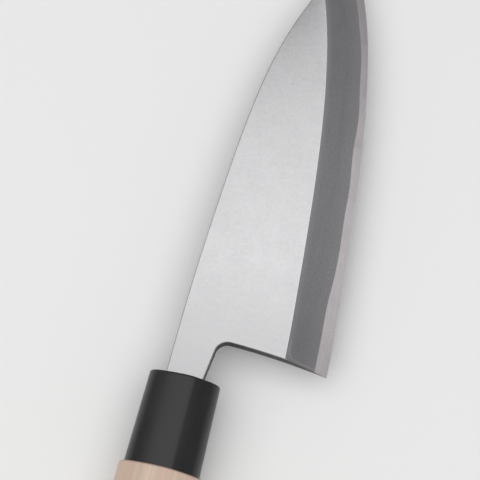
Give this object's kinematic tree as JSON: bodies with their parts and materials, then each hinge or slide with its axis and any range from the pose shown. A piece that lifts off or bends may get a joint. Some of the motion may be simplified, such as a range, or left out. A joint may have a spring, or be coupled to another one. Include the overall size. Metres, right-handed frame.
{
  "type": "deba knife",
  "caption": "Deba kitchen knife: thick laminated blade ground on its front only, with a hollowed back, a black moulded collar and a D-shaped wooden handle, lying on its back.",
  "frame": {"origin": "middle of the knife's box, seen from above, at the level of the handle's lowest line", "axes": "+X across the blade from the spine to the edge, +Y along the handle from the butt to the tip, +Z out of the blade's ground front, square to its flat back"},
  "size_m": [0.0616, 0.295, 0.0271],
  "materials": {
    "soft_iron": "satin flat with a grey, stone-ground bevel",
    "hard_steel": "stone-polished strip along the edge, satin hollow behind",
    "ferrule": "glossy black moulding",
    "seal": "dull dark resin",
    "wood": "smooth, bare, fine-grained magnolia"
  },
  "bodies": {
    "root": {"blade_iron": "soft_iron", "blade_steel": "hard_steel", "ferrule": "ferrule", "mouth_seal": "seal", "handle": "wood"}
  },
  "joints": []
}
